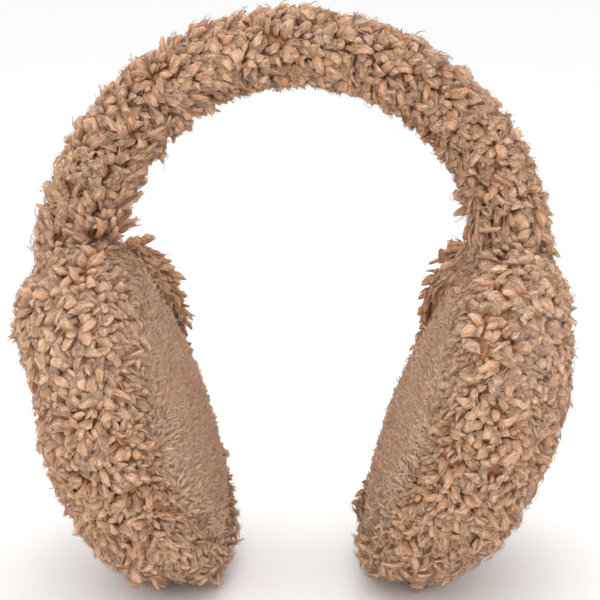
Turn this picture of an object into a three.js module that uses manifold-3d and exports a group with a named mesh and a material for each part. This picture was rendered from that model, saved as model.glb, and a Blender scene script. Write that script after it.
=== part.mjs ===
// Fur earmuffs: an arched headband in a teddy-fur sleeve whose two ends seat in
// pockets at the tops of two round ear pads. Each pad is a deep-fur shell with a
// short-pile face cushion set into its head side. +Z is up, X runs from ear to ear
// and Y from front to back. The muffs stand by themselves on the pads, on Z = 0.

import * as THREE from 'three';
import { mergeVertices } from 'three/addons/utils/BufferGeometryUtils.js';
import Module from 'manifold-3d';

const wasm = await Module();
wasm.setup();

// Sizes in millimetres and angles in degrees.
const clearance = 0.3; // between pieces that touch
const furClearance = 0.5; // more room for locks that point different ways

const archRadius = 79; // from the arch's centre to the headband's centreline
const armDrop = 17; // from the arch's centre down to the ends of the headband
const sleeveRadius = 14.8; // from the headband's centreline to its fur tips
const sleeveFlare = 1.2; // how much wider the sleeve is where it meets a pad
const flareLength = 40; // stretch of the sleeve over which it widens
const sleeveEndRadius = 9.5; // fur tips at the sleeve's very end, inside a pad
const sleeveTaper = 14; // length over which that end rounds out to the full sleeve
const sleevePile = 6; // length of the headband's locks
const tongueRadius = 7; // bare end of the headband inside a pad
const tongueLength = 16; // length of that end
const sleevePitch = 8; // distance between the headband's locks

const padRadius = 68.8; // from a pad's middle to the fur tips of its rim
const shellDepth = 36.5; // from a pad's mid-plane out to the fur tips of its crown
const rimDepth = 15; // from a pad's mid-plane in to the fur tips round its face
const padPile = 8; // length of a pad's locks
const rimPile = 3.5; // length of the locks next to the face
const shoulderSwell = 5; // extra fullness of the fur on both sides of the headband
const shoulderAngle = 42; // where that fullness is, from the top of the pad
const seatDepth = 30.8; // from a pad's rim in to the seat of the headband's end
const restFlat = 1.6; // depth by which the soft fur is pressed flat where it stands
const pressedHeight = 4; // height above that at which the pile stands free again
const padPitch = 8.2; // distance between a pad's locks
const shortestLock = 1; // pile shorter than this is left smooth

const rimWidth = 16.3; // from a pad's rim in to its short-pile face cushion
const faceDrop = 5; // how far the cushion's middle is below the pad's
const faceRecess = 10; // depth of the cushion's seat below the rim
const faceRise = 5; // crown of the cushion above the rim
const facePile = 2; // length of the cushion's fleece
const facePitch = 11; // distance between its tufts

// Squareness of a pad's section: 2 is an ellipse and more is boxier.
const shellSquareness = 2.3;
const rimSquareness = 5.5;

// Shapes of the locks, as shares of a cell or of the pile.
const ridgeStart = 0.22; // where a lock's ridge starts
const ridgeScatter = 0.1; // how far the ends of a ridge stray
const lockVariety = 0.15; // how much locks differ in height
const lockLean = 0.2; // how far a lock leans
const columnScatter = 0.12; // how far the headband's locks stray round it

// Where the rim's pile starts to shorten and the rim starts to follow the face, as
// shares of the way from the shell's crown to the face.
const shortPileFrom = 0.78;
const faceFollowedFrom = 0.8;

// How each pad hangs: side is the direction along X, splay is the outward slope of
// the headband's arm, lean tips the pad's top outwards, toe turns its face to the
// front, and seat is the place of the headband's end outside the mid-plane, as a
// share of the shell's depth.
const pads = [
  { name: 'left', side: -1, splay: 5, lean: 16.8, toe: 4.5, seat: 0.44 },
  { name: 'right', side: 1, splay: 6.5, lean: 19.3, toe: 1, seat: 0.36 },
];

const faceRadius = padRadius - rimWidth;
const recessRadius = faceRadius + clearance;
const seatRise = padRadius - seatDepth;

const furColour = '#a98469';
const fleeceColour = '#a6846b';

const { PI, abs, cos, exp, floor, max, min, round, sign, sin, sqrt } = Math;
const radians = THREE.MathUtils.degToRad;
const { lerp, smoothstep } = THREE.MathUtils;
const vector = (x, y, z) => new THREE.Vector3(x, y, z);

// A repeatable value between -1 and 1 for the two numbers of a place.
function jitter(i, j) {
  const wave = sin(i * 12.9898 + j * 78.233) * 43758.5453;
  return 2 * (wave - floor(wave)) - 1;
}

function fur(colour, roughness) {
  return new THREE.MeshStandardMaterial({ color: colour, roughness, metalness: 0 });
}

// Skin: a closed surface of four-sided cells, each flat or grown up into a lock.
class Skin {
  constructor() {
    this.points = [];
    this.faces = [];
  }

  add(point) {
    this.points.push(point);
    return this.points.length - 1;
  }

  triangle(a, b, c) {
    this.faces.push(a, b, c);
  }

  flatCell([a, b, c, d]) {
    this.triangle(a, b, c);
    this.triangle(a, c, d);
  }

  // The lock's ridge runs between the middles of two facing edges of its cell, the
  // first and third or the second and fourth. It stands about as high as lift.
  lockCell(cell, lift, nap, seed) {
    const corners = jitter(seed, 9) > 0 ? cell : [...cell.slice(1), cell[0]];
    const [a, b, c, d] = corners.map((index) => this.points[index]);
    const from = a.clone().add(b).multiplyScalar(0.5);
    const to = c.clone().add(d).multiplyScalar(0.5);
    const ends = [ridgeStart, 1 - ridgeStart].map((share, end) => {
      const height = 1 + lockVariety * jitter(seed, end + 3);
      const tip = from.clone().lerp(to, share + ridgeScatter * jitter(seed, end));
      return this.add(tip.addScaledVector(lift, height).addScaledVector(nap, height));
    });
    const [i, j, k, l] = corners;
    const [e, f] = ends;
    this.triangle(i, j, e);
    this.flatCell([j, k, f, e]);
    this.triangle(k, l, f);
    this.flatCell([l, i, e, f]);
  }

  fan(ring, centre) {
    const hub = this.add(centre);
    ring.forEach((a, k) => this.triangle(a, ring[(k + 1) % ring.length], hub));
  }

  // Flat cells between two rings, both counted the same way round.
  strip(ring, next) {
    ring.forEach((a, k) => {
      const m = (k + 1) % ring.length;
      this.flatCell([a, ring[m], next[m], next[k]]);
    });
  }

  geometry() {
    const positions = this.points.flatMap((point) => point.toArray());
    const geometry = new THREE.BufferGeometry();
    geometry.setAttribute('position', new THREE.Float32BufferAttribute(positions, 3));
    geometry.setIndex(this.faces);
    return geometry;
  }
}

// Solid cutting

function toSolid(geometry) {
  const bare = geometry.clone();
  bare.deleteAttribute('normal');
  bare.deleteAttribute('uv');
  const welded = mergeVertices(bare);
  return new wasm.Manifold(new wasm.Mesh({
    numProp: 3,
    vertProperties: Float32Array.from(welded.attributes.position.array),
    triVerts: Uint32Array.from(welded.index.array),
  }));
}

function toGeometry(solid) {
  const mesh = solid.getMesh();
  const geometry = new THREE.BufferGeometry();
  const positions = new THREE.Float32BufferAttribute(mesh.vertProperties, 3);
  geometry.setAttribute('position', positions);
  geometry.setIndex(Array.from(mesh.triVerts));
  return geometry;
}

// Round grid: a square of cells laid over a disc, so that no cell is a sliver. Its
// outer ring has four times as many points as the square has cells on a side.
function roundGrid(count) {
  const at = (index) => (2 * index) / count - 1;
  const place = (i, j) => {
    const a = at(i);
    const b = at(j);
    if (a === 0 && b === 0) return { reach: 0, turn: 0 };
    const wide = abs(a) > abs(b);
    const turn = wide ? (PI / 4) * (b / a) : PI / 2 - (PI / 4) * (a / b);
    const back = (wide ? a : b) < 0;
    return { reach: max(abs(a), abs(b)), turn: turn + (back ? PI : 0) };
  };
  const ring = [];
  for (let k = 0; k < count; k += 1) ring.push([count, k]);
  for (let k = 0; k < count; k += 1) ring.push([count - k, count]);
  for (let k = 0; k < count; k += 1) ring.push([0, count - k]);
  for (let k = 0; k < count; k += 1) ring.push([k, 0]);
  return { place, ring };
}

// Lays a round grid of locks. pointAt(reach, turn) gives a place on the skin, and
// grow(corners, reach, seed) makes a cell about the given reach. It returns the
// outer ring of points and their turns.
function layRoundGrid(skin, count, pointAt, grow) {
  const { place, ring } = roundGrid(count);
  const indices = [];
  for (let i = 0; i <= count; i += 1) {
    indices.push([]);
    for (let j = 0; j <= count; j += 1) {
      const { reach, turn } = place(i, j);
      indices[i].push(skin.add(pointAt(reach, turn)));
    }
  }
  for (let i = 0; i < count; i += 1) {
    for (let j = 0; j < count; j += 1) {
      const row = indices[i];
      const next = indices[i + 1];
      const { reach } = place(i + 0.5, j + 0.5);
      grow([row[j], next[j], next[j + 1], row[j + 1]], reach, i * count + j);
    }
  }
  return {
    indices: ring.map(([i, j]) => indices[i][j]),
    turns: ring.map(([i, j]) => place(i, j).turn),
  };
}

// Pad section: the fur tips of a pad in a plane through its axis. Its places are
// {out, x, outward, inward}: distance from the axis, height towards the head, and
// the surface's direction along each.
function sectionPlace(angle) {
  const inner = angle < 0;
  const depth = inner ? rimDepth : -shellDepth;
  const power = inner ? rimSquareness : shellSquareness;
  const out = padRadius * abs(cos(angle)) ** (2 / power);
  const x = depth * abs(sin(angle)) ** (2 / power);
  const outward = (out / padRadius) ** (power - 1) / padRadius;
  const inward = sign(depth) * ((x / depth) ** (power - 1)) / abs(depth);
  const size = Math.hypot(outward, inward);
  return { out, x, outward: outward / size, inward: inward / size };
}

// The section from the crown of the shell to the edge of the face, as places at
// equal steps of length.
function sectionWalk() {
  const fine = 600;
  const places = [];
  for (let k = 0; k <= fine; k += 1) {
    const place = sectionPlace(PI / 2 - (PI * k) / fine);
    if (place.x > 0 && place.out < recessRadius) break;
    places.push(place);
  }
  const lengths = [0];
  for (let k = 1; k < places.length; k += 1) {
    const step = Math.hypot(places[k].out - places[k - 1].out, places[k].x - places[k - 1].x);
    lengths.push(lengths[k - 1] + step);
  }
  const total = lengths[lengths.length - 1];
  const at = (share) => {
    const wanted = share * total;
    const next = max(1, lengths.findIndex((length) => length >= wanted - 1e-9));
    const along = (wanted - lengths[next - 1]) / (lengths[next] - lengths[next - 1]);
    const [a, b] = [places[next - 1], places[next]];
    return {
      out: lerp(a.out, b.out, along),
      x: lerp(a.x, b.x, along),
      outward: lerp(a.outward, b.outward, along),
      inward: lerp(a.inward, b.inward, along),
    };
  };
  return { at, total };
}

const section = sectionWalk();

// A place and its outward direction on a pad's fur tips, in the pad's own frame:
// X towards the head, Z up. turn is counted from the top, and share runs from the
// crown of the shell to the edge of the face.
function padSurface(share, turn) {
  const place = section.at(share);
  const fromTop = abs(((turn + 3 * PI) % (2 * PI)) - PI);
  const offset = (fromTop - radians(shoulderAngle)) / radians(shoulderAngle / 2);
  const swell = shoulderSwell * exp(-offset * offset) * sin(PI * share ** 2);
  const facing = vector(place.inward, place.outward * sin(turn), place.outward * cos(turn));
  const point = vector(place.x, place.out * sin(turn), place.out * cos(turn));
  point.z -= faceDrop * smoothstep(share, faceFollowedFrom, 1);
  return { point: point.addScaledVector(facing, swell), facing };
}

// The pile's length: shorter next to the face.
function pileAt(share) {
  return lerp(padPile, rimPile, smoothstep(share, shortPileFrom, 1));
}

// How the pads hang on the headband

function padRotation({ side, lean, toe }) {
  const turned = new THREE.Matrix4().makeRotationZ(side > 0 ? PI : 0);
  const leaned = new THREE.Matrix4().makeRotationY(radians(side * lean));
  const toed = new THREE.Matrix4().makeRotationZ(radians(side * toe));
  return toed.multiply(leaned).multiply(turned);
}

// How far a pad's fur tips reach below its middle.
function padReach(rotation) {
  let lowest = 0;
  for (let k = 0; k <= 100; k += 1) {
    for (let m = 0; m < 120; m += 1) {
      const { point } = padSurface(k / 100, (2 * PI * m) / 120);
      lowest = min(lowest, point.applyMatrix4(rotation).z);
    }
  }
  return -lowest;
}

// The way that an arm runs down, and the place where it leaves the arch, seen from
// the arch's centre: there the arch runs the same way.
function armDirection({ side, splay }) {
  return vector(side * sin(radians(splay)), 0, -cos(radians(splay)));
}

function armSpring({ side, splay }) {
  const angle = radians(splay);
  return vector(side * archRadius * cos(angle), 0, archRadius * sin(angle));
}

function hangPad(pad) {
  const rotation = padRotation(pad);
  const middleHeight = padReach(rotation) - restFlat;
  const seat = vector(-pad.seat * shellDepth, 0, seatRise);
  return { ...pad, rotation, middleHeight, seat, seatOffset: seat.clone().applyMatrix4(rotation) };
}

const hung = pads.map(hangPad);
const endHeights = hung.map((pad) => pad.middleHeight + pad.seatOffset.z);
const archHeight = (endHeights[0] + endHeights[1]) / 2 + armDrop;

// Headband path: one arm up, the arch over and the other arm down.
function bandEnd(pad) {
  const height = pad.middleHeight + pad.seatOffset.z;
  const spring = armSpring(pad);
  spring.z += archHeight;
  return spring.addScaledVector(armDirection(pad), (spring.z - height) / cos(radians(pad.splay)));
}

for (const pad of hung) {
  pad.end = bandEnd(pad);
  pad.matrix = new THREE.Matrix4();
  pad.matrix.makeTranslation(pad.end.x - pad.seatOffset.x, 0, pad.middleHeight);
  pad.matrix.multiply(pad.rotation);
}

class ArchCurve extends THREE.Curve {
  getPoint(share) {
    const [left, right] = hung.map((pad) => radians(pad.splay));
    const turn = lerp(PI - left, right, share);
    return vector(archRadius * cos(turn), 0, archHeight + archRadius * sin(turn));
  }
}

function bandCurve() {
  const arch = new ArchCurve();
  const path = new THREE.CurvePath();
  path.add(new THREE.LineCurve3(hung[0].end, arch.getPoint(0)));
  path.add(arch);
  path.add(new THREE.LineCurve3(arch.getPoint(1), hung[1].end));
  return path;
}

const bandPath = bandCurve();
const bandLength = bandPath.getLength();

// Headband section: a place on its centreline, rings round it and its fur's reach

// The centreline at a distance from the left end of the headband.
function bandFrame(distance) {
  const inside = min(max(distance, 0), bandLength);
  const along = bandPath.getTangentAt(inside / bandLength);
  const centre = bandPath.getPointAt(inside / bandLength);
  centre.addScaledVector(along, distance - inside);
  return { centre, along, away: vector(-along.z, 0, along.x) };
}

function spoke(frame, turn, radius) {
  const direction = frame.away.clone().multiplyScalar(cos(turn));
  direction.addScaledVector(vector(0, -1, 0), sin(turn));
  return frame.centre.clone().addScaledVector(direction, radius);
}

// A ring of points round the headband's centreline; twist shifts each of them.
function bandRing(skin, sides, distance, radius, twist = () => 0) {
  const frame = bandFrame(distance);
  return Array.from({ length: sides }, (_, k) => {
    const turn = (2 * PI * (k + twist(k))) / sides;
    return skin.add(spoke(frame, turn, radius));
  });
}

function sleeveTips(distance) {
  const fromEnd = max(0, min(distance, bandLength - distance) - tongueLength);
  const full = sleeveRadius + sleeveFlare * (1 - smoothstep(fromEnd, sleeveTaper, flareLength));
  return lerp(sleeveEndRadius, full, sin((PI / 2) * min(1, fromEnd / sleeveTaper)));
}

function sleevePileAt(distance) {
  return min(sleevePile, sleeveTips(distance) - tongueRadius - 1);
}

// Headband: the fur sleeve with a bare tongue at each end.
function headband() {
  const sides = max(8, round((2 * PI * sleeveRadius) / sleevePitch));
  const sleeve = bandLength - 2 * tongueLength;
  const rows = max(12, round(sleeve / sleevePitch));
  const step = sleeve / rows;
  const skin = new Skin();

  const growRow = (row, before, here) => {
    const distance = tongueLength + row * step;
    const frame = bandFrame(distance - step / 2);
    const pile = min(sleevePileAt(distance - step), sleevePileAt(distance));
    here.forEach((_, k) => {
      const m = (k + 1) % sides;
      const turn = (2 * PI * (k + 0.75)) / sides;
      const lift = spoke(frame, turn, pile).sub(frame.centre);
      const nap = frame.along.clone().multiplyScalar(lockLean * pile * jitter(row, k + 40));
      skin.lockCell([before[k], before[m], here[m], here[k]], lift, nap, row * sides + k);
    });
  };

  const bottom = bandRing(skin, sides, 0, tongueRadius);
  const neck = bandRing(skin, sides, tongueLength, tongueRadius);
  skin.fan([...bottom].reverse(), bandFrame(0).centre);
  skin.strip(bottom, neck);
  let last = neck;
  for (let row = 0; row <= rows; row += 1) {
    const distance = tongueLength + row * step;
    const loose = row > 0 && row < rows;
    const twist = (k) => (loose ? 0.5 * (row % 2) + columnScatter * jitter(row, k) : 0);
    const radius = (sleeveTips(distance) - sleevePileAt(distance)) / cos(PI / sides);
    const here = bandRing(skin, sides, distance, radius, twist);
    if (row === 0) skin.strip(last, here);
    else growRow(row, last, here);
    last = here;
  }
  const farNeck = bandRing(skin, sides, bandLength - tongueLength, tongueRadius);
  const top = bandRing(skin, sides, bandLength, tongueRadius);
  skin.strip(last, farNeck);
  skin.strip(farNeck, top);
  skin.fan(top, bandFrame(bandLength).centre);
  return skin.geometry();
}

// Room that the headband's end takes in a pad: a well for the tongue and a wider
// notch for the sleeve above it, open at the top.
function bandRoom(pad) {
  const sides = 28;
  const slack = clearance / cos(PI / sides);
  const notchSteps = 20;
  const notchLength = 2 * padRadius - seatRise;
  const stations = [[-clearance, tongueRadius], [tongueLength - clearance, tongueRadius]];
  for (let k = 0; k <= notchSteps; k += 1) {
    const along = tongueLength - clearance + (notchLength * k) / notchSteps;
    stations.push([along, sleeveTips(along) + lockVariety * sleevePile + furClearance]);
  }
  const left = pad.side < 0;
  const skin = new Skin();
  const ordered = left ? stations : [...stations].reverse();
  const place = (along) => (left ? along : bandLength - along);
  const rings = ordered.map(([along, radius]) => (
    bandRing(skin, sides, place(along), radius / cos(PI / sides) + slack)
  ));
  skin.fan([...rings[0]].reverse(), bandFrame(place(ordered[0][0])).centre);
  rings.slice(1).forEach((ring, k) => skin.strip(rings[k], ring));
  skin.fan(rings[rings.length - 1], bandFrame(place(ordered[ordered.length - 1][0])).centre);
  return skin.geometry();
}

// Everything below the surface that the muffs stand on.
function belowGround() {
  const size = 8 * padRadius;
  const geometry = new THREE.BoxGeometry(size, size, size);
  geometry.translate(0, 0, -size / 2);
  return geometry;
}

function cutInPadFrame(solid, geometry, toLocal) {
  return solid.subtract(toSolid(geometry.clone().applyMatrix4(toLocal)));
}

// Pad shell: a bowl of deep fur with a seat for the face and room for the band.
function padShell(pad) {
  const skin = new Skin();
  const count = 2 * round((PI * padRadius) / padPitch / 4);
  const capShare = (2 * count * padPitch) / PI / section.total;
  const rimRows = max(3, round(((1 - capShare) * section.total) / padPitch));
  const up = vector(0, 0, 1).applyMatrix4(pad.rotation.clone().transpose());
  const lowest = -(pad.middleHeight + restFlat);
  const toLocal = pad.matrix.clone().invert();
  const armAxis = armDirection(pad).applyMatrix4(pad.rotation.clone().transpose());
  const armSeat = pad.end.clone().applyMatrix4(toLocal);

  // Matted fur stands as high as its tips, so its base rises to them.
  const growth = (point) => {
    const height = point.dot(up) - lowest;
    return smoothstep(height, restFlat, restFlat + pressedHeight);
  };
  const base = (share, turn) => {
    const { point, facing } = padSurface(share, turn);
    return point.addScaledVector(facing, -pileAt(share) * growth(point));
  };
  const besideBand = (point) => {
    const reach = point.clone().sub(armSeat);
    const along = -reach.dot(armAxis);
    const away = sqrt(max(0, reach.lengthSq() - along * along));
    return along > 0 && away < sleeveRadius + sleeveFlare;
  };
  const grow = (corners, share, seed) => {
    const middle = vector(0, 0, 0);
    corners.forEach((index) => middle.addScaledVector(skin.points[index], 0.25));
    const height = pileAt(share) * growth(middle);
    if (height < shortestLock || besideBand(middle)) {
      skin.flatCell(corners);
      return;
    }
    const { facing } = padSurface(share, Math.atan2(middle.y, middle.z));
    const spin = PI * jitter(seed, 21);
    const nap = vector(0, cos(spin), sin(spin));
    nap.addScaledVector(facing, -nap.dot(facing)).multiplyScalar(lockLean * height);
    skin.lockCell(corners, facing.clone().multiplyScalar(height), nap, seed);
  };

  const cap = layRoundGrid(
    skin,
    count,
    (reach, turn) => base(reach * capShare, turn),
    (corners, reach, seed) => grow(corners, reach * capShare, seed),
  );
  let ring = cap.indices;
  for (let row = 1; row <= rimRows; row += 1) {
    const share = lerp(capShare, 1, row / rimRows);
    const next = cap.turns.map((turn) => {
      const point = base(share, turn);
      if (row === rimRows) point.copy(faceCircle(point.x, recessRadius, turn));
      return skin.add(point);
    });
    ring.forEach((a, k) => {
      const m = (k + 1) % ring.length;
      const between = lerp(capShare, 1, (row - 0.5) / rimRows);
      grow([a, next[k], next[m], ring[m]], between, count * count + row * ring.length + k);
    });
    ring = next;
  }
  const floorHeight = seatFloor();
  const wall = cap.turns.map((turn) => skin.add(faceCircle(floorHeight, recessRadius, turn)));
  skin.strip([...ring].reverse(), [...wall].reverse());
  skin.fan([...wall].reverse(), faceCircle(floorHeight, 0, 0));

  let solid = toSolid(skin.geometry());
  solid = cutInPadFrame(solid, bandRoom(pad), toLocal);
  solid = cutInPadFrame(solid, belowGround(), toLocal);
  return toGeometry(solid);
}

// Heights over a pad's mid-plane of the edge of its face and of the face's seat.
function faceEdge() {
  const { point, facing } = padSurface(1, PI);
  return point.addScaledVector(facing, -pileAt(1)).x;
}

function seatFloor() {
  return faceEdge() - faceRecess;
}

// A place on a circle about the middle of the face.
function faceCircle(height, radius, turn) {
  return vector(height, radius * sin(turn), radius * cos(turn) - faceDrop);
}

// Pad face: a cushion with a straight side in its seat and a low crown of fleece.
function padFace() {
  const skin = new Skin();
  const count = 2 * round((PI * faceRadius) / facePitch / 4);
  const edge = faceEdge();
  const crown = (reach, turn) => (
    faceCircle(edge + faceRise * (1 - reach ** 3), faceRadius * reach, turn)
  );
  const lift = vector(facePile, 0, 0);
  const upright = vector(0, 0, 0);
  const front = layRoundGrid(skin, count, crown, (corners, reach, seed) => {
    skin.lockCell([...corners].reverse(), lift, upright, seed);
  });
  const backHeight = seatFloor() + clearance;
  const back = front.turns.map((turn) => skin.add(faceCircle(backHeight, faceRadius, turn)));
  skin.strip(front.indices, back);
  skin.fan(back, faceCircle(backHeight, 0, 0));
  return skin.geometry();
}

// Assembly

function piece(name, geometry, material) {
  const mesh = new THREE.Mesh(geometry, material);
  mesh.name = name;
  return mesh;
}

const earmuffs = new THREE.Group();
earmuffs.add(piece('headband', headband(), fur(furColour, 0.95)));

for (const pad of hung) {
  const group = new THREE.Group();
  group.applyMatrix4(pad.matrix);
  group.add(piece(`${pad.name}_pad_shell`, padShell(pad), fur(furColour, 0.95)));
  group.add(piece(`${pad.name}_pad_face`, padFace(), fur(fleeceColour, 1)));
  earmuffs.add(group);
}

// The origin is under the middle of the muffs, on the surface that they stand on.
const extent = new THREE.Box3().setFromObject(earmuffs, true);
const middle = extent.getCenter(vector(0, 0, 0));
earmuffs.position.set(-middle.x, -middle.y, 0);

export default earmuffs;
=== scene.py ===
"""Fur earmuffs for Blender 4.5: curly locks on padded ear pads, fleece faces and a sleeved headband.

Shapes are worked out in millimetres in the frame of the CAD part and written to meshes in metres.
"""

import logging
import math
from collections.abc import Callable
from dataclasses import dataclass, field, replace
from enum import Enum

import bpy
import numpy as np
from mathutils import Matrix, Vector, noise


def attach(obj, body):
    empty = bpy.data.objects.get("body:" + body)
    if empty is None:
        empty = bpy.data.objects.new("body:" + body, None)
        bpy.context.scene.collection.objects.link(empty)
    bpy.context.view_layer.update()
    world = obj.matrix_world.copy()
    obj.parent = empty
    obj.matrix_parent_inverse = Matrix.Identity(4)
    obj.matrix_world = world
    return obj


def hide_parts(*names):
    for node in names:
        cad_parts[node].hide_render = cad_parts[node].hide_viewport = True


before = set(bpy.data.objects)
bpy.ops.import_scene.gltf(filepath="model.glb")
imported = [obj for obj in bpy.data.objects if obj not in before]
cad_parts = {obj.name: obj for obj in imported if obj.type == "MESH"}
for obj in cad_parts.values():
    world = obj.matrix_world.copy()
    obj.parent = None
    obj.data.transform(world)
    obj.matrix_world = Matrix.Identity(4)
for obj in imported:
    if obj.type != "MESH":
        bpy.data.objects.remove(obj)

LOG = logging.getLogger("earmuffs")
METRE = 0.001
BODY = "root"
REST = "rest"
FIELD_SEED = 7  # fixes the smooth fields, which would otherwise start from the clock
Array = np.ndarray
CURL_STEPS = 32  # steps in which a lock's curve is worked out
CURL_POWER = 1.7  # 1 is an even curl, and more keeps it for the tip
LOCK_SECTION = ((0.0, 0.62), (0.35, 0.92), (0.66, 1.0), (0.90, 0.66), (1.0, 0.0))  # along, radius
FUR_MATTED = 1.5  # millimetres over the floor under which the fur is pressed flat
FLEECE_MATTED = 1.0
CUSHION_MATTED = 1.2


# Small geometry helpers


def smooth(value: Array | float, low: float, high: float) -> Array:
    """Returns the smooth step from 0 at low to 1 at high."""
    share = np.clip((np.asarray(value, float) - low) / (high - low), 0, 1)
    return share * share * (3 - 2 * share)


def blend(a: Array | float, b: Array | float, share: Array | float) -> Array:
    """Returns a at share 0 and b at share 1."""
    return a + (b - a) * share


def unit(vectors: Array) -> Array:
    """Returns the vectors, one a row, at length 1."""
    size = np.linalg.norm(vectors, axis=-1, keepdims=True)
    return vectors / np.maximum(size, 1e-9)


def bell(value: Array, middle: float, width: float) -> Array:
    """Returns a bell curve of height 1."""
    return np.exp(-(((value - middle) / width) ** 2))


def turn_z(angle: float) -> Array:
    """Returns the rotation about Z by an angle in radians."""
    c, s = math.cos(angle), math.sin(angle)
    return np.array([[c, -s, 0], [s, c, 0], [0, 0, 1]])


def turn_y(angle: float) -> Array:
    """Returns the rotation about Y by an angle in radians."""
    c, s = math.cos(angle), math.sin(angle)
    return np.array([[c, 0, s], [0, 1, 0], [-s, 0, c]])


def rotated(x: Array, y: Array, angle: Array) -> tuple[Array, Array]:
    """Returns x and y turned by the angle in radians."""
    return x * np.cos(angle) - y * np.sin(angle), x * np.sin(angle) + y * np.cos(angle)


def drift(points: Array, wave: float, seed: float) -> Array:
    """Reads a smooth field of vectors.

    Args:
        points: Places in millimetres, one a row.
        wave: Size of the field's features in millimetres.
        seed: Offset that gives another field.

    Returns:
        One vector for each place, each of its parts between about -1 and 1.
    """
    return np.array([noise.noise_vector(Vector(p) / wave + Vector((seed, -seed, 2 * seed))) for p in points])


# Mesh helpers


def deselect() -> None:
    """Leaves object mode with nothing selected."""
    if bpy.context.object and bpy.context.object.mode != "OBJECT":
        bpy.ops.object.mode_set(mode="OBJECT")
    bpy.ops.object.select_all(action="DESELECT")


def name_new(name: str) -> bpy.types.Object:
    """Names the primitive that was just added.

    Args:
        name: The piece's name.

    Returns:
        The new object.
    """
    piece = bpy.context.object
    piece.name = name
    piece.data.name = name
    return piece


def read_points(piece: bpy.types.Object) -> Array:
    """Returns a mesh's vertices, one a row, in its own units."""
    flat = np.empty(3 * len(piece.data.vertices))
    piece.data.vertices.foreach_get("co", flat)
    return flat.reshape(-1, 3)


def keep_rest(piece: bpy.types.Object) -> None:
    """Stores where a mesh's vertices are now, for read_rest."""
    rest = piece.data.attributes.new(REST, "FLOAT_VECTOR", "POINT")
    rest.data.foreach_set("vector", read_points(piece).astype(np.float32).ravel())


def read_rest(piece: bpy.types.Object) -> Array:
    """Returns where a mesh's vertices were when keep_rest stored them, one a row."""
    flat = np.empty(3 * len(piece.data.vertices), np.float32)
    piece.data.attributes[REST].data.foreach_get("vector", flat)
    return flat.reshape(-1, 3).astype(float)


def write_points(piece: bpy.types.Object, points: Array) -> None:
    """Moves a mesh's vertices to the places given, one a row."""
    piece.data.vertices.foreach_set("co", np.ascontiguousarray(points, float).ravel())
    piece.data.update()


def apply_modifier(piece: bpy.types.Object, kind: str, **settings: object) -> None:
    """Adds a modifier and applies it.

    Args:
        piece: The object that it works on.
        kind: The modifier's type.
        settings: Its settings by name.
    """
    deselect()
    piece.select_set(True)
    bpy.context.view_layer.objects.active = piece
    modifier = piece.modifiers.new(kind.lower(), kind)
    for key, value in settings.items():
        setattr(modifier, key, value)
    bpy.ops.object.modifier_apply(modifier=modifier.name)


def select_points(piece: bpy.types.Object, chosen: Array) -> None:
    """Selects just the chosen vertices in edit mode.

    Args:
        piece: The object in edit mode.
        chosen: True for each vertex to select.
    """
    bpy.ops.object.mode_set(mode="OBJECT")
    data = piece.data
    data.polygons.foreach_set("select", np.zeros(len(data.polygons), bool))
    data.edges.foreach_set("select", np.zeros(len(data.edges), bool))
    data.vertices.foreach_set("select", np.ascontiguousarray(chosen, bool))
    bpy.ops.object.mode_set(mode="EDIT")


# Finishes


class Socket:
    """A shader socket that takes part in sums and products."""

    def __init__(self, paint: "Paint", link: bpy.types.NodeSocket) -> None:
        """Wraps link, an output in the material that paint is making."""
        self.paint = paint
        self.link = link

    def _maths(self, operation: str, *values: "Socket | float") -> "Socket":
        """Returns the Math node that works out an operation on values."""
        return self.paint.node("ShaderNodeMath", {"operation": operation}, dict(enumerate(values)))

    def __add__(self, other: "Socket | float") -> "Socket":
        """Adds another value."""
        return self._maths("ADD", self, other)

    def __sub__(self, other: "Socket | float") -> "Socket":
        """Takes another value away."""
        return self._maths("SUBTRACT", self, other)

    def __mul__(self, other: "Socket | float") -> "Socket":
        """Multiplies by another value."""
        return self._maths("MULTIPLY", self, other)

    __radd__ = __add__
    __rmul__ = __mul__

    def between(self, low: float, high: float) -> "Socket":
        """Returns 0 below low and 1 above high, with a smooth rise."""
        settings = {"interpolation_type": "SMOOTHSTEP"}
        return self.paint.node("ShaderNodeMapRange", settings, {0: self, 1: low, 2: high, 3: 0.0, 4: 1.0})


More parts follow.
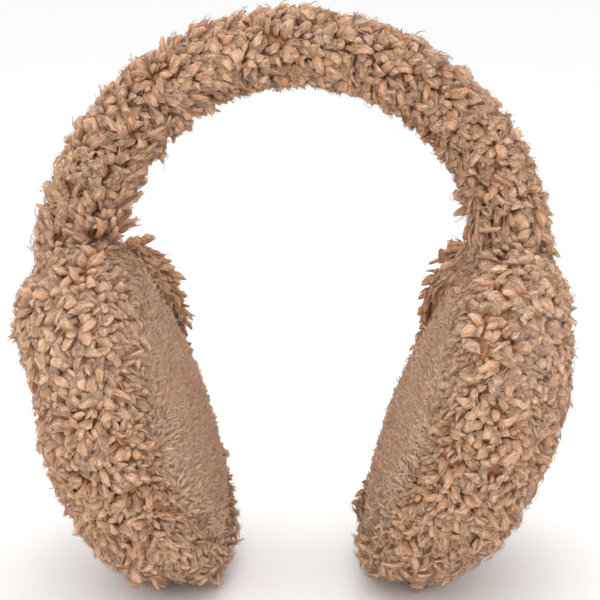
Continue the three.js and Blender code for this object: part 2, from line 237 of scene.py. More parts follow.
class Paint:
    """A procedural material in the making."""

    def __init__(self, name: str) -> None:
        """Starts an empty material called name."""
        self.material = bpy.data.materials.new(name)
        self.material.use_nodes = True
        self.tree = self.material.node_tree
        self.tree.nodes.clear()

    def node(
        self, kind: str, settings: dict, values: dict, output: int | str | None = 0
    ) -> Socket | None:
        """Adds a node.

        Args:
            kind: The node's type.
            settings: Its own settings, which are set first.
            values: Links or constants by the index or name of the input.
            output: Index or name of the output that is wanted, or None.

        Returns:
            The output, or None.
        """
        made = self.tree.nodes.new(kind)
        for key, value in settings.items():
            setattr(made, key, value)
        for key, value in values.items():
            if isinstance(value, Socket):
                self.tree.links.new(value.link, made.inputs[key])
            else:
                made.inputs[key].default_value = value
        return None if output is None else Socket(self, made.outputs[output])

    def attribute(self, name: str, output: str = "Fac") -> Socket:
        """Returns the mesh attribute of that name."""
        return self.node("ShaderNodeAttribute", {"attribute_name": name}, {}, output)

    def colour_mix(self, share: Socket, a: "Socket | tuple", b: "Socket | tuple") -> Socket:
        """Returns colour a at share 0 and colour b at share 1."""
        values = {0: share, 6: a, 7: b}
        return self.node("ShaderNodeMix", {"data_type": "RGBA", "clamp_factor": True}, values, 2)

    def grain(self, vector: Socket, scale: float, detail: float) -> Socket:
        """Returns smooth noise between 0 and 1 on the vector."""
        values = {"Vector": vector, "Scale": scale, "Detail": detail}
        return self.node("ShaderNodeTexNoise", {}, values, "Fac")

    def finish(self, surface: dict) -> bpy.types.Material:
        """Ends the material.

        Args:
            surface: Links or constants for the Principled shader.

        Returns:
            The material.
        """
        shader = self.node("ShaderNodeBsdfPrincipled", {}, surface)
        self.node("ShaderNodeOutputMaterial", {}, {"Surface": shader}, None)
        return self.material


def opaque(colour: tuple[float, float, float]) -> tuple[float, float, float, float]:
    """Returns the colour with full alpha."""
    return (*colour, 1.0)


@dataclass(frozen=True)
class FurFinish:
    """A woollen pile with painted shade towards its roots, and a lighter colour that random tone and painted
    light both raise.
    """

    name: str
    painted_root_shade: tuple[float, float, float]
    wool: tuple[float, float, float]
    tip: tuple[float, float, float]
    root_from: float = 0.05
    root_to: float = 0.72
    streak_scale: float = 3.6
    streak: float = 0.75
    fuzz_scale: float = 2000.0
    fuzz: float = 0.45
    blotch_scale: float = 70.0
    blotch: float = 0.35
    # Weight of each lock's tone value, which holds painted light and shade as well as random tone.
    tint: float = 0.26
    bump: float = 0.8
    bump_distance: float = 0.0004
    glow: float = 0.5
    glow_depth: float = 0.0018
    glow_spread: tuple[float, float, float] = (1.0, 0.8, 0.65)
    gloss: float = 0.15
    roughness: float = 0.93
    sheen: float = 0.04
    sheen_roughness: float = 0.45
    sheen_tint: tuple[float, float, float] = (1.0, 0.72, 0.52)

    def material(self) -> bpy.types.Material:
        """Builds the material.

        The attribute along is 0 at a lock's root and 1 at its tip, and painted shade darkens the roots; the
        lock's tone attribute holds its own random shade together with painted light and shade by where it
        grows, from -1 to 1; and fibre is a vector that the streaks of its hairs follow.

        Returns:
            The material.
        """
        paint = Paint(self.name)
        fibre = paint.attribute("fibre", "Vector")
        place = paint.node("ShaderNodeTexCoord", {}, {}, "Object")
        streaks = paint.grain(fibre, self.streak_scale, 3.0).between(0.32, 0.68)
        blotches = paint.grain(place, self.blotch_scale, 2.0)
        # Locks get darker towards their roots: painted shade between the locks.
        depth = paint.attribute("along").between(self.root_from, self.root_to)
        fuzz = paint.grain(place, self.fuzz_scale, 2.0).between(0.3, 0.7)
        # The share between the wool and tip colours sums random tone from streaks, blotches and fuzz with
        # each lock's tone value, which also holds painted light and shade.
        light = (streaks - 0.5) * self.streak + (blotches - 0.5) * (2 * self.blotch)
        light = light + (fuzz - 0.5) * self.fuzz
        light = light + paint.attribute("tint") * self.tint + 0.5
        body = paint.colour_mix(light, opaque(self.wool), opaque(self.tip))
        colour = paint.colour_mix(depth, opaque(self.painted_root_shade), body)
        height = {"Height": streaks + fuzz, "Strength": self.bump, "Distance": self.bump_distance}
        relief = paint.node("ShaderNodeBump", {}, height)
        surface = {
            "Base Color": colour,
            "Normal": relief,
            "Roughness": self.roughness,
            "Sheen Weight": self.sheen,
            "Sheen Roughness": self.sheen_roughness,
            "Sheen Tint": opaque(self.sheen_tint),
            "Specular IOR Level": self.gloss,
            "Subsurface Weight": self.glow,
            "Subsurface Scale": self.glow_depth,
            "Subsurface Radius": self.glow_spread,
        }
        return paint.finish(surface)


class Slot(Enum):
    """The record's material slots."""

    FUR = "teddy_fur"
    FLEECE = "fleece_face"


TEDDY = FurFinish(
    "curly_wool",
    # The first colour is the painted shade at the locks' roots.
    painted_root_shade=(0.52, 0.250, 0.125),
    wool=(0.560, 0.290, 0.155),
    tip=(0.870, 0.575, 0.400),
)
# The pile's knitted base; its colour, much darker than the wool, is painted shade between the locks.
SHADED_BACKING = replace(TEDDY, name="knitted_backing", wool=(0.16, 0.08, 0.044), tip=(0.24, 0.125, 0.07))
FLEECE = replace(
    TEDDY,
    name="brushed_fleece",
    painted_root_shade=(0.78, 0.475, 0.305),
    wool=(0.80, 0.500, 0.330),
    tip=(0.93, 0.670, 0.480),
    streak=0.7,
    tint=0.24,
)


# Locks


@dataclass
class LockBed:
    """Locks to be grown: one row or number for each, in millimetres and radians.

    A hair keeps its lock's values and stands off the lock's axis by ring, at the angle phase.
    """

    root: Array
    normal: Array
    nap: Array
    length: Array
    width: Array
    flatness: Array
    lean: Array
    curl: Array
    sway: Array
    wave: Array
    twist: Array
    point: Array
    tint: Array
    flute: Array
    ring: Array
    phase: Array
    flare: Array
    shade: Array

    def __len__(self) -> int:
        """Returns the number of locks."""
        return len(self.root)

    def keep(self, chosen: Array) -> "LockBed":
        """Returns the bed with just the chosen locks."""
        return LockBed(**{name: values[chosen] for name, values in vars(self).items()})


@dataclass(frozen=True)
class LockPattern:
    """One lock, modelled once and copied: a stalk with rings of (along, radius)."""

    sides: int
    rings: tuple[tuple[float, float], ...]

    def model(self) -> bpy.types.Object:
        """Models the upright lock, of length 1 and radius 1.

        Returns:
            The object, which is only a pattern.
        """
        deselect()
        fill = {"vertices": self.sides, "radius": 1, "depth": 1, "end_fill_type": "TRIFAN"}
        bpy.ops.mesh.primitive_cylinder_add(location=(0, 0, 0.5), **fill)
        piece = name_new("lock_pattern")
        bpy.ops.object.transform_apply()
        first, *between, last = self.rings
        bpy.ops.object.mode_set(mode="EDIT")
        for along, _ in between:
            bpy.ops.mesh.select_all(action="SELECT")
            bpy.ops.mesh.bisect(plane_co=(0, 0, along), plane_no=(0, 0, 1))
        bpy.ops.object.mode_set(mode="OBJECT")
        points = read_points(piece)
        rim = np.hypot(points[:, 0], points[:, 1]) > 0.5
        for along, radius in (*between, (1.0, last[1]), (0.0, first[1])):
            select_points(piece, rim & (abs(points[:, 2] - along) < 0.01))
            bpy.ops.transform.resize(value=(radius, radius, 1), center_override=(0, 0, along))
        select_points(piece, rim & (points[:, 2] > 0.999))
        bpy.ops.transform.translate(value=(0, 0, last[0] - 1))
        bpy.ops.object.mode_set(mode="OBJECT")
        return piece

    def grow(self, name: str, bed: LockBed, ground: float) -> bpy.types.Object:
        """Grows a copy of the pattern for each lock of the bed and joins them.

        Args:
            name: The piece's name.
            bed: The locks.
            ground: Height under which the pile is matted flat, in millimetres.

        Returns:
            The joined piece, with the attributes that FurFinish reads and an unwrapped map.
        """
        pattern = self.model()
        points = read_points(pattern)
        along, angle = points[:, 2], np.arctan2(points[:, 1], points[:, 0])
        radius = np.hypot(points[:, 0], points[:, 1])
        sizes = np.array([p.loop_total for p in pattern.data.polygons])
        corners = np.array([i for p in pattern.data.polygons for i in p.vertices])
        starts = np.concatenate([[0], np.cumsum(sizes)[:-1]])
        around = self._unwrap(corners, sizes, starts, angle, radius)
        bpy.data.objects.remove(pattern)

        places = self._bend(bed, along, angle, radius)
        places[..., 2] = matted(places[..., 2], ground)
        count, size = len(bed), len(points)
        mesh = bpy.data.meshes.new(name)
        mesh.vertices.add(count * size)
        mesh.vertices.foreach_set("co", (places * METRE).ravel())
        mesh.loops.add(count * len(corners))
        offsets = np.arange(count)[:, None]
        mesh.loops.foreach_set("vertex_index", (corners[None] + offsets * size).ravel().astype(np.int32))
        mesh.polygons.add(count * len(sizes))
        loop_starts = (starts[None] + offsets * len(corners)).ravel().astype(np.int32)
        mesh.polygons.foreach_set("loop_start", loop_starts)
        mesh.polygons.foreach_set("use_smooth", np.ones(count * len(sizes), bool))
        mesh.update(calc_edges=True)

        self._write(mesh, "along", "FLOAT", np.tile(along, count))
        self._write(mesh, "tint", "FLOAT", np.repeat(bed.tint + bed.shade, size))
        wool = np.stack([np.cos(angle) * radius, np.sin(angle) * radius, along * 1.1], axis=-1)[None]
        shift = np.stack([offsets[:, 0] * 0.37, offsets[:, 0] * 0.73, offsets[:, 0] * 1.31], axis=-1) % 50
        self._write(mesh, "fibre", "FLOAT_VECTOR", (wool + shift[:, None]).reshape(-1, 3))
        self._map(mesh, count, around, along[corners])
        piece = bpy.data.objects.new(name, mesh)
        bpy.context.scene.collection.objects.link(piece)
        return piece

    @staticmethod
    def _unwrap(corners: Array, sizes: Array, starts: Array, angle: Array, radius: Array) -> Array:
        """Returns each corner's place round the lock from 0 to 1, without a jump inside a face."""
        around = (angle[corners] / math.tau) % 1
        for start, size in zip(starts, sizes):
            turn = around[start : start + size]
            rim = radius[corners[start : start + size]] > 1e-6
            if np.ptp(turn[rim]) > 0.5:
                turn[turn < 0.5] += 1
            turn[~rim] = turn[rim].mean()
        return around / max(1.0, around.max())

    @staticmethod
    def _bend(bed: LockBed, along: Array, angle: Array, radius: Array) -> Array:
        """Returns the places of all the locks' vertices, in an array of locks by vertices by 3."""
        s = along[None]
        col = {name: values[:, None] for name, values in vars(bed).items() if values.ndim == 1}
        side = unit(np.cross(bed.normal, bed.nap))
        steps = np.linspace(0, 1, CURL_STEPS + 1)[None]
        path = col["lean"] + col["curl"] * steps**CURL_POWER
        walked = [
            np.cumsum((way[:, 1:] + way[:, :-1]) / 2, axis=1) / CURL_STEPS
            for way in (np.cos(path), np.sin(path))
        ]
        at = np.rint(along * CURL_STEPS).astype(int)
        rise, run = (col["length"] * np.pad(way, ((0, 0), (1, 0)))[:, at] for way in walked)
        tilt = path[:, at]
        waver = col["wave"] * np.sin(6.0 * s + 9.0 * col["tint"]) * s
        stray = col["length"] * (col["sway"] * s * s + waver)
        lumps = 1 + col["flute"] * np.sin(9.0 * s + 17.0 * col["tint"])

        def swollen(turn: Array) -> Array:
            """Returns how much the lobes, lumps and taper change a lock's radius at an angle."""
            lobes = 1 + col["flute"] * (np.cos(3 * turn + 7 * col["tint"]) + 0.7 * np.cos(2 * turn + 3 * s))
            return (1 - col["point"] * s**3) * lobes * lumps

        half = 0.5 * col["width"] * radius[None] * swollen(angle)
        facing = np.where(col["ring"] > 0, col["phase"] + math.pi / 2, 0)
        wide, deep = rotated(half * np.cos(angle), half * col["flatness"] * np.sin(angle), facing)
        profile = np.interp(along, *zip(*LOCK_SECTION))[None] + col["flare"] * s**3
        ring = col["ring"] * profile * swollen(col["phase"])
        wide = wide + ring * np.cos(col["phase"])
        deep = deep + ring * col["flatness"] * np.sin(col["phase"])
        wide, deep = rotated(wide, deep, col["twist"] * s)
        up = rise - deep * np.sin(tilt)
        forward = run + deep * np.cos(tilt)
        across = stray + wide
        parts = ((up, bed.normal), (forward, bed.nap), (across, side))
        return bed.root[:, None] + sum(size[..., None] * way[:, None] for size, way in parts)

    @staticmethod
    def _write(mesh: bpy.types.Mesh, name: str, kind: str, values: Array) -> None:
        """Stores an attribute on the mesh's vertices."""
        key = "vector" if kind == "FLOAT_VECTOR" else "value"
        attribute = mesh.attributes.new(name, kind, "POINT")
        attribute.data.foreach_set(key, np.ascontiguousarray(values, np.float32).ravel())

    @staticmethod
    def _map(mesh: bpy.types.Mesh, count: int, around: Array, along: Array) -> None:
        """Gives each lock a square of its own in the map named OFBake."""
        across = math.ceil(math.sqrt(count))
        index = np.arange(count)[:, None]
        u = (index % across + 0.06 + 0.88 * around[None]) / across
        v = (index // across + 0.06 + 0.88 * along[None]) / across
        layer = mesh.uv_layers.new(name="OFBake")
        layer.data.foreach_set("uv", np.stack([u, v], axis=-1).astype(np.float32).ravel())


def matted(height: Array, ground: float) -> Array:
    """Returns heights with all that is under ground pressed into the millimetres above zero."""
    pressed = ground * np.exp(np.minimum(height - ground, 0) / ground)
    return np.where(height < ground, pressed, height)


class HairPattern(LockPattern):
    """One flat hair, modelled once and copied: a strip with rings of (along, half width)."""

    def model(self) -> bpy.types.Object:
        """Models the upright strip.

        Returns:
            The object, which is only a pattern.
        """
        deselect()
        bpy.ops.mesh.primitive_grid_add(x_subdivisions=1, y_subdivisions=len(self.rings) - 1, size=2)
        piece = name_new("hair_pattern")
        points = read_points(piece)
        level = (points[:, 1] + 1) / 2 * (len(self.rings) - 1)
        along, half = (np.interp(level, range(len(self.rings)), column) for column in zip(*self.rings))
        write_points(piece, np.stack([np.sign(points[:, 0]) * half, np.zeros(len(points)), along], axis=-1))
        return piece


LOCK = LockPattern(5, LOCK_SECTION[:-1])
HAIR = HairPattern(2, ((0.28, 0.8), (0.60, 1.0), (0.84, 0.8), (1.0, 0.15)))
NAP = HairPattern(2, ((0.0, 0.8), (0.4, 1.0), (0.75, 0.8), (1.0, 0.2)))


@dataclass(frozen=True)
class Scatter:
    """Even, random places on a form, and where they were before the cloth was blown up."""

    places: Array
    normals: Array
    rest: Array

    def keep(self, chosen: Array) -> "Scatter":
        """Returns just the chosen places."""
        return Scatter(self.places[chosen], self.normals[chosen], self.rest[chosen])


def scatter(
    piece: bpy.types.Object, spacing: float, seed: int, closer: Callable[[Array], Array] | None = None
) -> Scatter:
    """Scatters places over a form so that no two are nearer than spacing.

    They are chosen on the form before it was blown up, so that each run chooses the same.

    Args:
        piece: The form, whose mesh is in metres.
        spacing: Smallest distance between places, in millimetres.
        seed: Seed of the draws.
        closer: Gives the share of the spacing that holds at each place, if it isn't 1 all over.

    Returns:
        The places in millimetres, with the form's smooth normals there.
    """
    rng = np.random.default_rng(seed)
    mesh = piece.data
    mesh.calc_loop_triangles()
    points = read_points(piece) / METRE
    normals = np.empty(3 * len(mesh.vertices))
    mesh.vertices.foreach_get("normal", normals)
    normals = normals.reshape(-1, 3)
    triangles = np.empty(3 * len(mesh.loop_triangles), np.int32)
    mesh.loop_triangles.foreach_get("vertices", triangles)
    triangles = triangles.reshape(-1, 3)
    rest = read_rest(piece) / METRE
    a, b, c = (rest[triangles[:, k]] for k in range(3))
    areas = np.linalg.norm(np.cross(b - a, c - a), axis=1) / 2
    tries = int((8 if closer is None else 16) * areas.sum() / spacing**2)
    pick = rng.choice(len(areas), tries, p=areas / areas.sum())
    shares = rng.random((tries, 2))
    fold = shares.sum(1) > 1
    shares[fold] = 1 - shares[fold]
    weights = np.column_stack([1 - shares.sum(1), shares])
    places, still, ways = (
        np.einsum("nk,nkd->nd", weights, values[triangles[pick]]) for values in (points, rest, normals)
    )
    taken: dict[tuple[int, int, int], list[Array]] = {}
    room = np.full(tries, spacing) if closer is None else spacing * closer(still)
    kept = []
    for index, place in enumerate(still):
        cell = tuple(int(v) for v in np.floor(place / spacing))
        near = [
            other
            for i in (-1, 0, 1)
            for j in (-1, 0, 1)
            for k in (-1, 0, 1)
            for other in taken.get((cell[0] + i, cell[1] + j, cell[2] + k), ())
        ]
        if near and (((np.array(near) - place) ** 2).sum(1) < room[index] ** 2).any():
            continue
        taken.setdefault(cell, []).append(place)
        kept.append(index)
    return Scatter(places[kept], unit(ways[kept]), still[kept])


# Forms of the parts


def shoulder_bell(turn: Array, share: Array) -> Array:
    """Returns how much a place on a pad belongs to the full, soft shoulders beside its top."""
    return bell(abs(turn), math.radians(45), math.radians(30)) * smooth(share, 0.2, 0.6)


@dataclass(frozen=True)
class PadForm:
    """A round ear pad as the CAD part has it, in millimetres and degrees.

    Its own frame has X towards the head and Z up. A place on it is a share of the way from the
    crown of the shell to the edge of the face, and a turn from the top.
    """

    name: str
    side: int
    lean: float
    toe: float
    middle: tuple[float, float, float]
    radius: float = 68.8
    shell_depth: float = 36.5
    rim_depth: float = 15.0
    shell_squareness: float = 2.3
    rim_squareness: float = 5.5
    swell: float = 5.0
    swell_angle: float = 42.0
    face_radius: float = 52.5
    face_drop: float = 5.0
    face_recess: float = 10.0
    face_rise: float = 5.0
    rim_pile: float = 3.5
    face_dip: float = 1.5
    shoulder: float = 6.0
    fullness: tuple[tuple[float, float, float], ...] = ()

    def fuller(self, points: Array, share: Array, turn: Array) -> Array:
        """Finds how much fuller the fur is than the CAD part's at each place.

        Args:
            points: Places in the part's frame.
            share: Their ways from the crown.
            turn: Their angles from the top, in radians.

        Returns:
            The heights in millimetres, from fullness on the outer side, as (height over the
            middle, spread, amount), and from the far shoulder, which is lower.
        """
        height = points[:, 2] - self.middle[2]
        outer = sum(amount * bell(height, at, spread) for at, spread, amount in self.fullness)
        far = -self.side * turn
        shoulder = bell(far, math.radians(22), math.radians(20)) * smooth(share, 0.45, 0.7)
        edge = bell(far, math.radians(78), math.radians(28)) * smooth(share, 0.72, 0.9)
        foot = bell(abs(turn), math.radians(155), math.radians(22)) * smooth(share, 0.78, 0.95)
        soft = 1.6 * shoulder_bell(turn, share)
        fall = self.shoulder * shoulder + 3.0 * edge
        return outer * (1 - smooth(share, 0.5, 0.8)) + soft + 2.6 * foot - fall

    def rotation(self) -> Array:
        """Returns the pad's rotation, as a matrix."""
        turned = turn_z(math.pi if self.side > 0 else 0.0)
        leaned = turn_y(math.radians(self.side * self.lean))
        return turn_z(math.radians(self.side * self.toe)) @ leaned @ turned

    def to_row(self, points: Array) -> Array:
        """Moves points from the pad's frame to the part's."""
        return points @ self.rotation().T + np.array(self.middle)

    def to_pad(self, points: Array) -> Array:
        """Moves points from the part's frame to the pad's."""
        return (points - np.array(self.middle)) @ self.rotation()

    def section(self) -> tuple[Array, ...]:
        """Returns the section's shares, distances from the axis, heights, and facings along both."""
        angle = math.pi / 2 - math.pi * np.linspace(0, 1, 601)
        inner = angle < 0
        depth = np.where(inner, self.rim_depth, -self.shell_depth)
        power = np.where(inner, self.rim_squareness, self.shell_squareness)
        out = self.radius * abs(np.cos(angle)) ** (2 / power)
        x = depth * abs(np.sin(angle)) ** (2 / power)
        kept = ~((x > 0) & (out < self.face_radius + 0.3))
        out, x, depth, power = out[kept], x[kept], depth[kept], power[kept]
        outward = (out / self.radius) ** (power - 1) / self.radius
        inward = np.sign(depth) * (x / depth) ** (power - 1) / abs(depth)
        size = np.hypot(outward, inward)
        length = np.concatenate([[0], np.cumsum(np.hypot(np.diff(out), np.diff(x)))])
        return length / length[-1], out, x, outward / size, inward / size

    def surface(self, share: Array, turn: Array) -> tuple[Array, Array]:
        """Finds places on the fur's outline.

        Args:
            share: The way from the crown, 0, to the face's edge, 1.
            turn: The angle from the top, in radians.

        Returns:
            The places and the outward directions, in the pad's frame.
        """
        shares, *columns = self.section()
        out, x, outward, inward = (np.interp(share, shares, column) for column in columns)
        facing = np.stack([inward, outward * np.sin(turn), outward * np.cos(turn)], axis=-1)
        places = np.stack([x, out * np.sin(turn), out * np.cos(turn)], axis=-1)
        places[..., 2] -= self.face_drop * smooth(share, 0.8, 1)
        from_top = abs((turn + math.pi) % math.tau - math.pi)
        spread = math.radians(self.swell_angle)
        swell = self.swell * bell(from_top, spread, spread / 2) * np.sin(math.pi * share**2)
        return places + facing * swell[..., None], facing

    def locate(self, points: Array) -> tuple[Array, Array, Array]:
        """Finds the place on the fur's outline nearest to each point.

        Args:
            points: Points in the part's frame.

        Returns:
            Their shares, their turns, and their heights over the outline.
        """
        local = self.to_pad(points)
        shares, out, x, outward, inward = self.section()
        drop = self.face_drop * smooth(local[:, 0], 5, 14)
        reach = np.hypot(local[:, 1], local[:, 2] + drop)
        turn = np.arctan2(local[:, 1], local[:, 2] + drop)
        gap = (reach[:, None] - out[None]) ** 2 + (local[:, 0][:, None] - x[None]) ** 2
        best = gap.argmin(axis=1)
        height = (reach - out[best]) * outward[best] + (local[:, 0] - x[best]) * inward[best]
        return shares[best], turn, height

    def face_edge(self) -> float:
        """Returns the height of the face's edge over the pad's middle plane."""
        return float(self.surface(np.array(1.0), np.array(math.pi))[0][0]) - self.rim_pile


@dataclass(frozen=True)
class BandForm:
    """The headband's centreline and sleeve as the CAD part has them, in millimetres and degrees."""

    centre: tuple[float, float, float] = (-1.337, 0.13, 114.07)
    radius: float = 79.0
    splay: tuple[float, float] = (5.0, 6.5)
    end_heights: tuple[float, float] = (97.44, 96.70)
    sleeve: float = 14.8
    arm_fullness: tuple[tuple[float, float, float], ...] = (
        (42.0, 18.0, 3.2),
        (10.0, 12.0, 5.0),
        (168.0, 12.0, 6.0),
        (95.0, 30.0, -0.5),
    )

    def fuller(self, points: Array) -> Array:
        """Returns how much longer the inner side's fur is.

        Args:
            points: Places on the centreline, in the part's frame.

        Returns:
            The lengths in millimetres, from arm_fullness as (degrees from the left, spread, amount).
        """
        angle = np.degrees(np.arctan2(points[:, 2] - self.centre[2], self.centre[0] - points[:, 0]))
        return sum(amount * bell(angle, at, spread) for at, spread, amount in self.arm_fullness)

    def springs(self) -> tuple[float, float]:
        """Returns the arch's angles from +X at its two ends, left and right, in radians."""
        return math.pi - math.radians(self.splay[0]), math.radians(self.splay[1])

    def arms(self) -> tuple[float, float]:
        """Returns the lengths of the straight arms, left and right."""
        rises = [
            (self.centre[2] + self.radius * math.sin(tilt) - end) / math.cos(tilt)
            for tilt, end in zip(map(math.radians, self.splay), self.end_heights)
        ]
        return rises[0], rises[1]

    def locate(self, points: Array) -> tuple[Array, Array, Array]:
        """Finds the place on the centreline nearest to each point.

        Args:
            points: Points in the part's frame.

        Returns:
            The centreline's nearest places, its directions there, and the points' distances from it.
        """
        flat = points[:, [0, 2]] - np.array([self.centre[0], self.centre[2]])
        left, right = self.springs()
        angle = np.arctan2(flat[:, 1], flat[:, 0])
        angle = np.where(angle < -math.pi / 2, angle + math.tau, angle)
        held = np.clip(angle, right, left)
        spot = self.radius * np.column_stack([np.cos(held), np.sin(held)])
        along = np.column_stack([np.sin(held), -np.cos(held)])
        for beyond, spring, sign in ((angle > left, left, -1), (angle < right, right, 1)):
            start = self.radius * np.array([math.cos(spring), math.sin(spring)])
            way = sign * np.array([math.sin(spring), -math.cos(spring)])
            down = np.maximum((flat - start) @ way, 0)
            spot = np.where(beyond[:, None], start + down[:, None] * way, spot)
        places = np.column_stack([spot[:, 0], np.zeros(len(spot)), spot[:, 1]]) + np.array(self.centre)
        ways = np.column_stack([along[:, 0], np.zeros(len(spot)), along[:, 1]])
        return places, ways, np.linalg.norm(points - places, axis=1)


LEFT = PadForm(
    "left",
    side=-1,
    lean=16.8,
    toe=4.5,
    middle=(-55.817, 0.13, 65.707),
    face_dip=4.0,
    fullness=((16, 16, -3.4), (47, 12, 2.0), (-15, 12, 1.0), (-45, 18, 0.8)),
)
RIGHT = PadForm(
    "right",
    side=1,
    lean=19.3,
    toe=1.0,
    middle=(55.196, 0.13, 65.179),
    face_dip=7.0,
    shoulder=2.5,
    fullness=((30, 18, -2.8), (-6, 17, 1.6), (-38, 14, 0.8), (-60, 9, -2.4)),
)
BAND = BandForm()


# Padded forms


@dataclass(frozen=True)
class Filling:
    """How a padded form is remeshed and blown up as cloth."""

    voxel: float
    pressure: float = 4.0
    cap: float = 2.0
    frames: int = 20

    def plump(self, piece: bpy.types.Object) -> None:
        """Blows the form up as cloth, holds back what moved too far and smooths it.

        Args:
            piece: The closed form, in metres.
        """
        apply_modifier(piece, "REMESH", mode="VOXEL", voxel_size=self.voxel * METRE)
        keep_rest(piece)
        before = read_points(piece)
        self._blow(piece)
        move = read_points(piece) - before
        size = np.linalg.norm(move, axis=1, keepdims=True)
        limit = self.cap * METRE
        write_points(piece, before + move * np.minimum(1, limit / np.maximum(size, 1e-9)))
        apply_modifier(piece, "SUBSURF", levels=1, render_levels=1)
        places = read_points(piece)
        places[:, 2] = matted(places[:, 2] / METRE, CUSHION_MATTED) * METRE
        write_points(piece, places)
        deselect()
        piece.select_set(True)
        bpy.context.view_layer.objects.active = piece
        bpy.ops.object.shade_smooth()

    def _blow(self, piece: bpy.types.Object) -> None:
        """Runs the cloth under pressure and applies it."""
        deselect()
        piece.select_set(True)
        bpy.context.view_layer.objects.active = piece
        cloth = piece.modifiers.new("filling", "CLOTH")
        cloth.settings.use_pressure = True
        cloth.settings.uniform_pressure_force = self.pressure
        cloth.settings.effector_weights.gravity = 0
        for step in range(1, self.frames + 1):
            bpy.context.scene.frame_set(step)
        bpy.ops.object.modifier_apply(modifier=cloth.name)
        bpy.context.scene.frame_set(1)


def dress(piece: bpy.types.Object, finish: FurFinish, slot: Slot, *nodes: str) -> bpy.types.Object:
    """Gives a piece its finish and its place in the frame.

    Args:
        piece: The finished piece.
        finish: Its finish.
        slot: The record's slot; not used.
        nodes: The CAD nodes that it stands for.

    Returns:
        The piece.
    """
    material = bpy.data.materials.get(finish.name) or finish.material()
    piece.data.materials.clear()
    piece.data.materials.append(material)
    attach(piece, BODY)
    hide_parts(*nodes)
    triangles = sum(len(p.vertices) - 2 for p in piece.data.polygons)
    LOG.info("%s: %d triangles", piece.name, triangles)
    return piece


LOCK_VALUES = {  # usual mean, spread as a share of it, and spread in the value's own unit
    "length": (9.0, 0.22, 0.0),
    "width": (4.3, 0.24, 0.0),
    "flatness": (0.72, 0.14, 0.0),
    "lean": (0.45, 0.35, 0.0),
    "curl": (1.6, 0.25, 0.0),
    "sway": (0.0, 0.0, 0.22),
    "wave": (0.06, 0.0, 0.0),
    "twist": (0.0, 0.0, 0.7),
    "point": (0.25, 0.5, 0.0),
    "tint": (0.0, 0.0, 0.42),
    "flute": (0.19, 0.0, 0.0),
    "ring": (0.0, 0.0, 0.0),
    "phase": (0.0, 0.0, 0.0),
    "flare": (0.0, 0.0, 0.0),
    "shade": (0.0, 0.0, 0.0),
}


def bed_for(
    spots: Scatter, nap: Array, seed: int, ruffle: float = 0.5, spikes: float = 0.1, **means: Array | float
) -> LockBed:
    """Makes a bed of locks that vary about their means.

    Args:
        spots: The locks' roots.
        nap: The way that each lock leans, not yet in the surface.
        seed: Seed of the draws.
        ruffle: Spread of the locks' turns away from the nap, in radians.
        spikes: Share of the locks that stand out straight.
        means: Mean values by the names of LockBed.

    Returns:
        The bed.
    """
    rng = np.random.default_rng(seed)
    count = len(spots.places)
    normal = spots.normals
    flat = nap - (nap * normal).sum(1, keepdims=True) * normal
    values = {}
    for name, (default, spread, shift) in LOCK_VALUES.items():
        mean = np.asarray(means.get(name, default), float)
        draw = np.clip(rng.normal(size=count), -2, 2)
        values[name] = mean * (1 + spread * draw) + shift * draw
    spiky = rng.random(count) < spikes
    values["curl"] = np.where(spiky, 0.45, 1) * np.maximum(values["curl"], 0.3)
    values["width"] = np.where(spiky, 0.85, 1) * values["width"]
    values["length"] = np.where(spiky, 0.85, 1) * values["length"]
    values["point"] = np.where(spiky, 0.6, values["point"])
    parting = bell(np.linalg.norm(flat, axis=1, keepdims=True), 0.0, 0.55)
    flat = unit(flat)
    turn = (ruffle + 1.6 * parting) * np.clip(rng.normal(size=(count, 1)), -2, 2)
    nap = flat * np.cos(turn) + np.cross(normal, flat) * np.sin(turn)
    return LockBed(root=spots.places, normal=normal, nap=nap, **values)


def strays(bed: LockBed, share: float, seed: int) -> LockBed:
    """Makes hairs that lie over the outer side of the locks and come a little loose at their tips.

    Args:
        bed: The locks.
        share: Hairs for each lock.
        seed: Seed of the draws.

    Returns:
        The hairs.
    """
    rng = np.random.default_rng(seed)
    count = int(share * len(bed))
    chance = np.exp(0.7 * bed.tint)
    base = bed.keep(rng.choice(len(bed), count, p=chance / chance.sum()))
    turn = 0.28 * rng.normal(size=(count, 1))
    return replace(
        base,
        nap=base.nap * np.cos(turn) + np.cross(base.normal, base.nap) * np.sin(turn),
        length=base.length * rng.uniform(0.94, 1.14, count),
        width=rng.uniform(0.28, 0.50, count),
        curl=base.curl * rng.uniform(0.72, 1.0, count),
        ring=0.5 * base.width * rng.uniform(0.98, 1.12, count),
        phase=-math.pi / 2 + rng.uniform(-2.0, 2.0, count),
        flare=rng.uniform(0.0, 0.5, count),
        shade=rng.normal(size=count) * 0.9 + 0.3,
    )


# The parts


